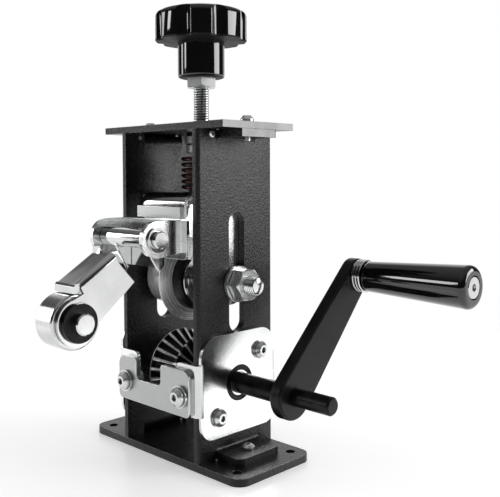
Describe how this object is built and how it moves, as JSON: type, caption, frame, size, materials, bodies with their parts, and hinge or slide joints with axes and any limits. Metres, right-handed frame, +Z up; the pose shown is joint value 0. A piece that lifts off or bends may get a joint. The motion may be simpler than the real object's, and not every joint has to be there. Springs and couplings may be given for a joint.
{
  "type": "wire stripper",
  "caption": "Bench wire stripper: plate tower with a toothed, grooved roller turned by a hand crank, a round blade set by a star-knob screw, and a hinged guide arm with a roller in front.",
  "frame": {"origin": "centre of the base plate's bolt holes, on the plate's underside", "axes": "+X along the crank shaft towards the crank, +Y the way the wire leaves, +Z up"},
  "size_m": [0.2213, 0.1737, 0.2703],
  "materials": {
    "plate_black": "fine-textured black powder coat",
    "crank_black": "satin black coat",
    "zinc": "bright zinc plated",
    "guide_steel": "satin steel",
    "polished_steel": "polished",
    "tool_steel": "ground steel",
    "dark_steel": "dark oxide",
    "black_plastic": "gloss black"
  },
  "bodies": {
    "frame": {"base_plate": "plate_black", "side_plate_left": "plate_black", "side_plate_right": "plate_black", "foot_screws": "zinc", "plate_screws": "zinc", "top_plate": "plate_black", "top_bolts": "zinc", "bearing_bracket_left": "zinc", "bearing_bracket_right": "zinc", "bracket_screws": "zinc", "guide_plate_front": "guide_steel", "guide_plate_rear": "guide_steel", "guide_screws": "zinc", "guide_nuts": "zinc", "shaft_bearing_outers": "polished_steel", "feed_bush": "zinc", "lock_nut": "zinc", "rod_washer": "dark_steel"},
    "drive": {"shaft_bearing_inners": "polished_steel", "drive_shaft": "dark_steel", "shaft_clip": "dark_steel", "drive_roller": "tool_steel", "roller_spacers": "tool_steel", "crank_arm": "crank_black", "crank_set_screw": "dark_steel", "grip_spindle": "polished_steel", "grip_washers": "polished_steel"},
    "grip": {"crank_grip": "black_plastic"},
    "carrier": {"carrier_frame": "zinc", "carrier_cover": "polished_steel", "carrier_bar": "guide_steel", "cross_bolt": "zinc", "cross_bolt_washers": "zinc", "cross_bolt_nuts": "zinc", "blade_sleeve": "tool_steel", "arm_bracket": "zinc", "pivot_pin": "polished_steel", "pin_washers": "polished_steel", "pin_clip": "dark_steel", "stop_screw": "zinc", "pressure_spring": "dark_steel"},
    "feed_screw": {"threaded_rod": "zinc", "rod_clip": "dark_steel", "jam_nut": "zinc", "star_knob": "black_plastic"},
    "blade": {"blade_disc": "polished_steel", "blade_hub": "polished_steel", "blade_flange": "dark_steel", "blade_seal": "dark_steel", "blade_bush": "tool_steel"},
    "arm": {"arm_barrel": "polished_steel", "arm_strut": "polished_steel", "guide_arm": "polished_steel", "roller_axle": "polished_steel", "axle_washer": "dark_steel", "axle_clip": "dark_steel"},
    "guide_roller": {"arm_roller": "polished_steel"}
  },
  "joints": [
    {"name": "crank_turn", "type": "hinge", "parent": "frame", "child": "drive", "pos_m": [0, 0, 0.046], "axis": [1, 0, 0], "continuous": true},
    {"name": "grip_spin", "type": "hinge", "parent": "drive", "child": "grip", "pos_m": [0.1, 0.05803, 0.10673], "axis": [1, 0, 0], "continuous": true},
    {"name": "carrier_slide", "type": "slide", "parent": "frame", "child": "carrier", "axis": [0, 0, 1], "range_m": [-0.013, 0.007], "deforming": ["pressure_spring"]},
    {"name": "knob_turn", "type": "hinge", "parent": "carrier", "child": "feed_screw", "pos_m": [0, 0.0049, 0.2], "axis": [0, 0, 1], "range_deg": [-3119, 1679]},
    {"name": "blade_spin", "type": "hinge", "parent": "carrier", "child": "blade", "pos_m": [0, 0, 0.1035], "axis": [1, 0, 0], "continuous": true},
    {"name": "arm_swing", "type": "hinge", "parent": "carrier", "child": "arm", "pos_m": [-0.004, -0.0473, 0.1311], "axis": [1, 0, 0], "range_deg": [-70, 0]},
    {"name": "roller_spin", "type": "hinge", "parent": "arm", "child": "guide_roller", "pos_m": [-0.004, -0.0888, 0.0891], "axis": [1, 0, 0], "continuous": true}
  ],
  "couplings": [
    {"joint": "knob_turn", "follows": "carrier_slide", "rad_per_m": 4188.8}
  ]
}
